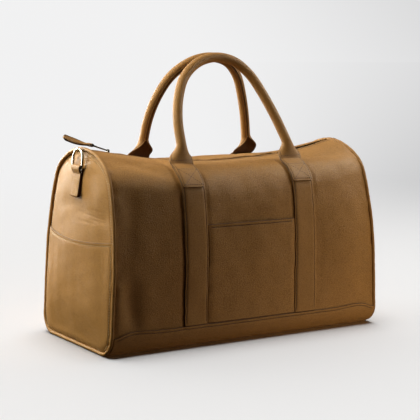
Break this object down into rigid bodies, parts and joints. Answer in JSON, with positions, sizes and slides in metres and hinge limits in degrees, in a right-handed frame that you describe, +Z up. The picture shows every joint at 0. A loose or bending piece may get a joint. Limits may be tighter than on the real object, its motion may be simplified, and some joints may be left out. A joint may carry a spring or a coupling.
{
  "type": "duffel bag",
  "caption": "Leather weekend duffel bag with arched piped ends, a top zip, rolled handles on sewn straps, slip pockets and end rings.",
  "frame": {"origin": "on the ground under the middle of the base, on the base leather's flat underside", "axes": "+X along the bag's length towards its right end, -Y out of its front, +Z up"},
  "size_m": [0.5276, 0.2322, 0.4487],
  "materials": {
    "leather": "pebbled, soft sheen",
    "rope": "twisted cotton",
    "lining": "plain twill",
    "zip_tape": "woven tape",
    "zip_metal": "polished nickel",
    "ring_metal": "polished nickel",
    "board": "matt sheet"
  },
  "bodies": {
    "bag": {"front_panel": "leather", "back_panel": "leather", "base_panel": "leather", "front_pocket": "leather", "left_end_panel": "leather", "left_end_pocket": "leather", "left_piping": "leather", "left_ring_tab": "leather", "right_end_panel": "leather", "right_end_pocket": "leather", "right_piping": "leather", "right_ring_tab": "leather", "front_left_strap": "leather", "front_right_strap": "leather", "front_left_handle_tab": "leather", "front_right_handle_tab": "leather", "back_left_strap": "leather", "back_right_strap": "leather", "back_left_handle_tab": "leather", "back_right_handle_tab": "leather", "left_piping_cord": "rope", "right_piping_cord": "rope", "front_lining": "lining", "back_lining": "lining", "left_end_lining": "lining", "right_end_lining": "lining", "front_zip_tape": "zip_tape", "back_zip_tape": "zip_tape", "front_zip_teeth": "zip_metal", "back_zip_teeth": "zip_metal", "zip_stops": "zip_metal", "base_board": "board"},
    "front_handle": {"front_handle": "leather", "front_handle_core": "rope"},
    "back_handle": {"back_handle": "leather", "back_handle_core": "rope"},
    "slider": {"zip_slider": "zip_metal"},
    "puller": {"zip_puller": "zip_metal"},
    "leather_pull": {"leather_pull": "leather"},
    "left_ring": {"left_d_ring": "ring_metal"},
    "right_ring": {"right_d_ring": "ring_metal"}
  },
  "joints": [
    {"name": "zip_travel", "type": "hinge", "parent": "bag", "child": "slider", "pos_m": [0, 0, 1.29208], "axis": [0, -1, 0], "range_deg": [0, 22.98]},
    {"name": "puller_swing", "type": "hinge", "parent": "slider", "child": "puller", "pos_m": [-0.19437, 0, 0.29762], "axis": [0, 1, 0], "range_deg": [0, 105]},
    {"name": "pull_flex", "type": "hinge", "parent": "puller", "child": "leather_pull", "pos_m": [-0.22384, 0, 0.30723], "axis": [0, 1, 0], "range_deg": [0, 40]},
    {"name": "front_handle_swing", "type": "hinge", "parent": "bag", "child": "front_handle", "pos_m": [0, -0.06982, 0.28076], "axis": [1, 0, 0], "range_deg": [0, 122]},
    {"name": "back_handle_swing", "type": "hinge", "parent": "bag", "child": "back_handle", "pos_m": [0, 0.06982, 0.28076], "axis": [-1, 0, 0], "range_deg": [0, 122]},
    {"name": "left_ring_swing", "type": "hinge", "parent": "bag", "child": "left_ring", "pos_m": [-0.24627, 0, 0.274], "axis": [0, -1, 0], "range_deg": [0, 158]},
    {"name": "right_ring_swing", "type": "hinge", "parent": "bag", "child": "right_ring", "pos_m": [0.24627, 0, 0.274], "axis": [0, 1, 0], "range_deg": [0, 158]}
  ]
}
